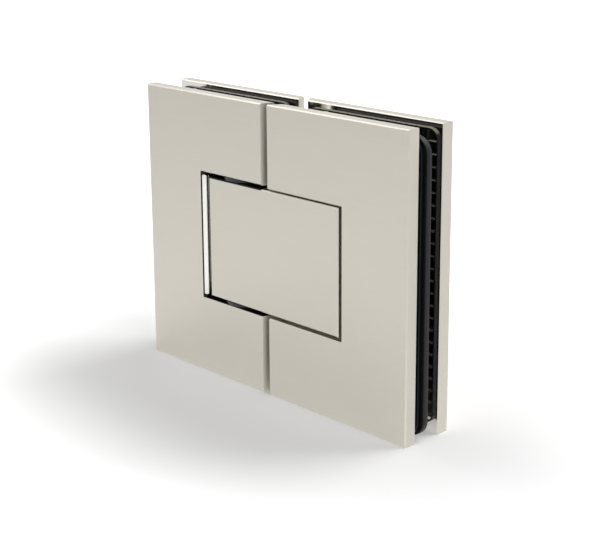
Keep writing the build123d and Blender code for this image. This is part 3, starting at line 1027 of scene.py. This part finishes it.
@dataclass
class SlotLinings:
    """Moulded gaskets and loose packings that line one half's glass slot."""

    side: Side
    core_clearance: float = 0.4 * MM
    gasket_corner: float = 3.2 * MM
    gasket_corner_lines: int = 7
    rib_width: float = 0.5 * MM
    rib_base: float = 0.7  # share of the thickness where a rib's rounding starts
    rib_lines: tuple[float, ...] = (-1, -0.9, -0.6, 0, 0.6, 0.9, 1)  # in halves of a rib
    rib_bend: float = 50  # degrees that stay smooth over a rib
    rib_count: int = 30  # more than fit, and the rest are left out
    pocket_across: float = 3.75 * MM
    pocket_up: float = 3.6 * MM
    packing_corner: float = 5.0 * MM
    packing_corner_lines: int = 10
    packing_lines: tuple[int, int] = (26, 44)  # across and up
    packing_edge_lines: tuple[float, ...] = (0, 0.05, 0.2, 0.5, 1.0)  # in radii of the soft edge
    # The lattice comes out of its mould nearly black and smooth, and the faces of its ribs that point upwards
    # get a pale painted highlight.
    rubber: MouldedRubber = MouldedRubber(
        name="rubber_lattice", colour="#0A0A0B", edge="#0E0E0E", painted_highlight="#B5AD9B", roughness=0.3
    )
    # Sheet from a press is duller. The thin one is a cold black. On both the edges are painted
    # lighter than the faces, as painted light against painted shade, and most on the thick one.
    thin_sheet: MouldedRubber = MouldedRubber(
        name="rubber_sheet_thin", colour="#07090C", edge="#12191E", painted_highlight="#12191E", roughness=0.42
    )
    thick_sheet: MouldedRubber = MouldedRubber(
        name="rubber_sheet_thick", colour="#070708", edge="#262527", painted_highlight="#262527", roughness=0.5
    )

    def outline(self, node: str, corner: float) -> SheetOutline:
        """Outline of a lining, from its CAD node and the core that it goes round.

        Args:
            node: the CAD node's name.
            corner: radius of the outer corners.

        Returns:
            The outline, drawn towards +X.
        """
        low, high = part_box(node)
        core_low, core_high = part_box("pivot_block")
        near, far = sorted((abs(low.x), abs(high.x)))
        centre = (low.z + high.z) / 2
        core_middle = (core_low.z + core_high.z) / 2
        half_cut = core_high.z - core_middle + abs(centre - core_middle) + self.core_clearance
        slip = near - abs(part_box(self.side.node("inner_packing"))[self.side is Side.DOOR].x)
        return SheetOutline(
            start=near,
            end=far,
            bottom=low.z,
            top=high.z,
            cut_end=core_high.x + self.core_clearance + slip,
            cut_bottom=centre - half_cut,
            cut_top=centre + half_cut,
            corner=corner,
        )

    def rib_middles(self, outline: SheetOutline) -> tuple[Grid, Grid]:
        """Middle lines of the ribs.

        The upright ones step in from the outer edge, and the level ones down from the top.

        Args:
            outline: the gasket's outline.

        Returns:
            Places of the upright ribs and heights of the level ones.
        """
        half, count = self.rib_width / 2, np.arange(self.rib_count)
        return outline.end - half - self.pocket_across * count, outline.top - half - self.pocket_up * count

    def rib_distance(self, outline: SheetOutline, x: Grid, z: Grid) -> Grid:
        """Distance from the middle line of the nearest rib.

        The least of the distances to the upright ribs, to the level ribs and to the rim,
        whose middle line runs half a rib inside the outline.

        Args:
            outline: the gasket's outline.
            x: places along the plates.
            z: heights.

        Returns:
            The distance at each point.
        """
        across, up = self.rib_middles(outline)
        nearest = np.minimum(np.abs(x[..., None] - across).min(-1), np.abs(z[..., None] - up).min(-1))
        return np.minimum(nearest, np.abs(outline.edge_distance(x, z) - self.rib_width / 2))

    def gasket(self, piece: str, faces_rear: bool) -> None:
        """Makes a moulded gasket, an open lattice of rounded ribs inside a rim.

        The ribs rise from the plate to full thickness by the square root of
        1 - (distance from the rib's middle line / half its width) squared.

        Args:
            piece: the gasket's name without its side.
            faces_rear: whether its ribs point to the rear.
        """
        node = self.side.node(piece)
        outline = self.outline(node, self.gasket_corner)
        low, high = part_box(node)
        half = self.rib_width / 2
        steps = half * np.array(self.rib_lines)
        across, up = self.rib_middles(outline)
        sides = np.array([outline.start + half, outline.cut_end + half])
        ends = np.array([outline.bottom + half, outline.cut_bottom - half, outline.cut_top + half])
        corner = self.gasket_corner * np.linspace(0, 1, self.gasket_corner_lines)
        columns = [(middles[:, None] + steps).ravel() for middles in (across, sides)]
        rows = [(middles[:, None] + steps).ravel() for middles in (up, ends)]
        columns += [outline.end - corner, outline.start + corner]
        rows += [outline.top - corner, outline.bottom + corner]
        columns = tidy_lines(np.concatenate(columns), outline.start, outline.end)
        rows = tidy_lines(np.concatenate(rows), outline.bottom, outline.top)
        x, z = np.meshgrid(columns, rows)
        rise = np.sqrt(np.clip(1 - (self.rib_distance(outline, x, z) / half) ** 2, 0, 1))
        rise = self.rib_base + (1 - self.rib_base) * rise
        if faces_rear:
            near = np.full_like(x, low.y)
            far = low.y + (high.y - low.y) * rise
        else:
            near = high.y - (high.y - low.y) * rise
            far = np.full_like(x, high.y)
        middle_x, middle_z = np.meshgrid((columns[1:] + columns[:-1]) / 2, (rows[1:] + rows[:-1]) / 2)
        filled = self.rib_distance(outline, middle_x, middle_z) < half
        points, faces = sheet_mesh(outline, columns, rows, near, far, self.side, filled)
        made = make_piece(f"{node}_lattice", points, faces, self.rubber, sharp=self.rib_bend)
        settle(made, self.side.body, "black_rubber", node)

    def packing(self, piece: str, finish: MouldedRubber, round_off: float, fan: float) -> None:
        """Makes a loose packing sheet with softened edges that bows a little.

        Its faces draw in near the edge by r - sqrt(r squared - (r - d) squared), where d
        is the distance from the edge, and both lean to the rear by fan times the square
        of how far below the middle they are.

        Args:
            piece: the packing's name without its side.
            finish: what it is made of.
            round_off: radius of the softened edges.
            fan: how far its bottom edge leans.
        """
        node = self.side.node(piece)
        outline = self.outline(node, self.packing_corner)
        low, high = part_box(node)
        steps = round_off * np.array(self.packing_edge_lines)
        corner = self.packing_corner * np.linspace(0, 1, self.packing_corner_lines)
        across, up = self.packing_lines
        columns = [outline.start + steps, outline.end - steps, outline.cut_end + steps]
        columns += [outline.end - corner, outline.start + corner]
        columns += [np.linspace(outline.start, outline.end, across)]
        rows = [outline.bottom + steps, outline.top - steps]
        rows += [outline.cut_bottom - steps, outline.cut_top + steps]
        rows += [outline.top - corner, outline.bottom + corner]
        rows += [np.linspace(outline.bottom, outline.top, up)]
        columns = tidy_lines(np.concatenate(columns), outline.start, outline.end)
        rows = tidy_lines(np.concatenate(rows), outline.bottom, outline.top)
        x, z = np.meshgrid(columns, rows)
        inner = np.clip(round_off - outline.edge_distance(x, z), 0, round_off)
        draw_in = round_off - np.sqrt(round_off**2 - inner**2)
        middle = (outline.bottom + outline.top) / 2
        below = np.clip((middle - z) / (middle - outline.bottom), 0, 1)
        lean = fan * below**2
        near, far = low.y + draw_in + lean, high.y - draw_in + lean
        points, faces = sheet_mesh(outline, columns, rows, near, far, self.side)
        made = make_piece(f"{node}_sheet", points, faces, finish)
        settle(made, self.side.body, "black_rubber", node)

    def build(self) -> None:
        """Makes this half's two gaskets and two packings."""
        self.gasket("front_gasket", faces_rear=True)
        self.packing("inner_packing", self.thin_sheet, round_off=0.12 * MM, fan=0.0)
        self.packing("outer_packing", self.thick_sheet, round_off=0.15 * MM, fan=0.15 * MM)
        self.gasket("rear_gasket", faces_rear=False)


@dataclass
class Fasteners:
    """Clamp screws that close the plates on the glass, and the pin's grub screws.

    A round is a row of stations, each with its step inwards and its depth. A plain part
    is the length without thread at the head and at the tip.
    """

    # Turned stainless steel is a bright grey, with the tool's marks round the head.
    steel: WorkedMetal = WorkedMetal(
        name="stainless_steel_turned",
        colour="#C9C7C2",
        shade="#A6A49F",
        roughness=0.3,
        mark_length=(0.25 * MM, 3 * MM, 0.25 * MM),
    )
    clamp: SocketScrew = SocketScrew(
        across_flats=4 * MM, socket_depth=2.2 * MM, pitch=1.0 * MM, thread_depth=0.55 * MM
    )
    grub: SocketScrew = SocketScrew(
        across_flats=2.5 * MM, socket_depth=2.2 * MM, pitch=0.8 * MM, thread_depth=0.42 * MM, columns=48
    )
    head_height: float = 2.7 * MM
    shank_radius: float = 3.0 * MM
    face_start: float = 0.55  # of the clamp's flat face, as a share of the head's radius
    rim_round: tuple[tuple[float, float], ...] = ((0.4, 0.0), (0.22, 0.04), (0.16, 0.14))  # mm
    neck_round: tuple[tuple[float, float], ...] = ((-0.1, -0.12), (0.0, 0.1))  # mm, from the head's end
    clamp_plain: tuple[float, float] = (0.4 * MM, 0.6 * MM)
    grub_round: tuple[tuple[float, float], ...] = ((0.45, 0.0), (0.1, 0.2))  # mm
    grub_plain: tuple[float, float] = (0.3 * MM, 0.45 * MM)

    def build_clamp(self, side: Side, place: str) -> None:
        """Makes one clamp screw over its CAD node.

        Args:
            side: the half that it clamps.
            place: "upper" or "lower".
        """
        node = side.node(f"{place}_clamp_screw")
        low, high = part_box(node)
        centre = Vector(((low.x + high.x) / 2, high.y, (low.z + high.z) / 2))
        rim = (high.x - low.x) / 2
        profile = [(self.face_start * rim, 0.0)]
        profile += [(rim - inwards * MM, depth * MM) for inwards, depth in self.rim_round]
        profile += [
            (self.shank_radius - inwards * MM, self.head_height + depth * MM)
            for inwards, depth in self.neck_round
        ]
        at_head, at_tip = self.clamp_plain
        threaded = (self.head_height + at_head, high.y - low.y - at_tip)
        points, faces = self.clamp.mesh(centre, np.array(profile), self.shank_radius, threaded)
        made = make_piece(f"{node}_threaded", points, faces, self.steel)
        settle(made, side.body, "stainless_steel", node)

    def build_grub(self, place: str) -> None:
        """Makes one grub screw over its CAD node.

        Args:
            place: "upper" or "lower".
        """
        node = f"{place}_pin_grub_screw"
        low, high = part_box(node)
        centre = Vector(((low.x + high.x) / 2, high.y, (low.z + high.z) / 2))
        crest = (high.x - low.x) / 2
        profile = [(crest - inwards * MM, depth * MM) for inwards, depth in self.grub_round]
        at_head, at_tip = self.grub_plain
        points, faces = self.grub.mesh(centre, np.array(profile), crest, (at_head, high.y - low.y - at_tip))
        made = make_piece(f"{node}_threaded", points, faces, self.steel)
        settle(made, Side.DOOR.body, "stainless_steel", node)

    def build(self) -> None:
        """Makes the four clamp screws and the two grub screws."""
        for place in ("upper", "lower"):
            for side in Side:
                self.build_clamp(side, place)
            self.build_grub(place)


# ------------------------------------------------------------------------------------ studio


@dataclass(frozen=True)
class Lamp:
    """One square soft lamp that faces the hinge's middle."""

    name: str
    place: tuple[float, float, float]  # from the hinge's middle, in metres
    size: float  # width in metres
    power: float  # watts

    def hang(self, middle: Vector) -> None:
        """Hangs the lamp.

        Args:
            middle: middle of the hinge's box.
        """
        data = bpy.data.lights.new(self.name, "AREA")
        data.size = self.size
        data.energy = self.power
        made = bpy.data.objects.new(self.name, data)
        bpy.context.scene.collection.objects.link(made)
        place = middle + Vector(self.place)
        turn = (place - middle).to_track_quat("Z", "Y").to_matrix().to_4x4()
        made.matrix_world = Matrix.Translation(place) @ turn


@dataclass
class Studio:
    """Camera, floor, lamps and world. None of it is part of the hinge."""

    stand: Vector = field(  # of the camera, from the hinge's middle
        default_factory=lambda: Vector((291.4, -273.7, 113.0)) * MM
    )
    yaw: float = 46.31
    pitch: float = 14.11
    roll: float = -0.37
    lens: float = 82.3
    sensor: float = 36.0
    shift: float = -0.10
    clip: tuple[float, float] = (0.01, 50.0)
    floor_reach: float = 6.0
    floor_lines: int = 9
    ambient: float = 0.24
    lamps: tuple[Lamp, ...] = (
        Lamp("lamp_rear", (0.25, 0.6, 0.85), 0.6, 7.0),
        Lamp("lamp_left", (-0.76, -0.06, 0.76), 0.2, 1.2),
        Lamp("lamp_right", (1.2, -0.2, 0.6), 0.8, 1.8),
    )

    def camera(self, middle: Vector) -> None:
        """Sets the camera.

        Args:
            middle: middle of the hinge's box.
        """
        yaw, pitch, roll = (math.radians(turn) for turn in (self.yaw, self.pitch, self.roll))
        ahead = Vector((-math.sin(yaw) * math.cos(pitch), math.cos(yaw) * math.cos(pitch), -math.sin(pitch)))
        right = Vector((math.cos(yaw), math.sin(yaw), 0.0))
        upward = right.cross(ahead)
        turned_right = right * math.cos(roll) + upward * math.sin(roll)
        turned_up = upward * math.cos(roll) - right * math.sin(roll)
        data = bpy.data.cameras.new("camera")
        data.sensor_width = self.sensor
        data.lens = self.lens
        data.shift_y = self.shift
        data.clip_start, data.clip_end = self.clip
        made = bpy.data.objects.new("camera", data)
        bpy.context.scene.collection.objects.link(made)
        turn = Matrix((turned_right, turned_up, -ahead)).transposed()
        made.matrix_world = Matrix.Translation(middle + self.stand) @ turn.to_4x4()
        bpy.context.scene.camera = made

    def floor(self) -> None:
        """Lays a wide flat floor under the hinge, a grid of points at height nought."""
        steps = np.linspace(-self.floor_reach, self.floor_reach, self.floor_lines)
        x, y = np.meshgrid(steps, steps)
        points = np.stack([x, y, np.zeros_like(x)], -1).reshape(-1, 3)
        number = np.arange(x.size).reshape(x.shape)
        faces = np.stack([number[:-1, :-1], number[:-1, 1:], number[1:, 1:], number[1:, :-1]], -1)
        made = make_piece("floor", points, faces.reshape(-1, 4).tolist(), StudioPaper())
        made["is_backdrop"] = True

    def world(self) -> None:
        """Sets a white world for the eye and for gloss, and a plain grey one for the rest."""
        world = bpy.data.worlds.new("studio")
        world.use_nodes = True
        tree = world.node_tree
        tree.nodes.clear()
        rays = add_node(tree, "ShaderNodeLightPath").outputs
        seen = 0.0
        for kind in ("Is Camera Ray", "Is Glossy Ray", "Is Transmission Ray"):
            seen = add_node(
                tree, "ShaderNodeMath", {"operation": "ADD", "use_clamp": True}, {0: seen, 1: rays[kind]}
            ).outputs[0]
        grey, white = (
            add_node(tree, "ShaderNodeBackground", {}, {"Color": WHITE, "Strength": light}).outputs[0]
            for light in (self.ambient, 1.0)
        )
        mixed = add_node(tree, "ShaderNodeMixShader", {}, {0: seen, 1: grey, 2: white}).outputs[0]
        add_node(tree, "ShaderNodeOutputWorld", {}, {"Surface": mixed})
        bpy.context.scene.world = world

    def build(self, low: Vector, high: Vector) -> None:
        """Sets up the whole studio.

        Args:
            low: lowest corner of the hinge's box.
            high: highest corner.
        """
        middle = (low + high) / 2
        self.camera(middle)
        self.floor()
        self.world()
        for lamp in self.lamps:
            lamp.hang(middle)
        bpy.context.scene.view_settings.view_transform = "Standard"
        LOG.info("studio: camera, floor, world and %d lamps", len(self.lamps))


def main() -> None:
    """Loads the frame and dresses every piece."""
    logging.basicConfig(level=logging.INFO, format="%(message)s")
    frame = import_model()
    cad_low, cad_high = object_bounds()
    Studio().build(cad_low, cad_high)
    NickelBody().dress(frame["nodes"])
    NotchRods().build()
    Pivot().dress(frame["nodes"])
    for side in Side:
        SlotLinings(side).build()
    Fasteners().build()


if __name__ == "__main__":
    main()
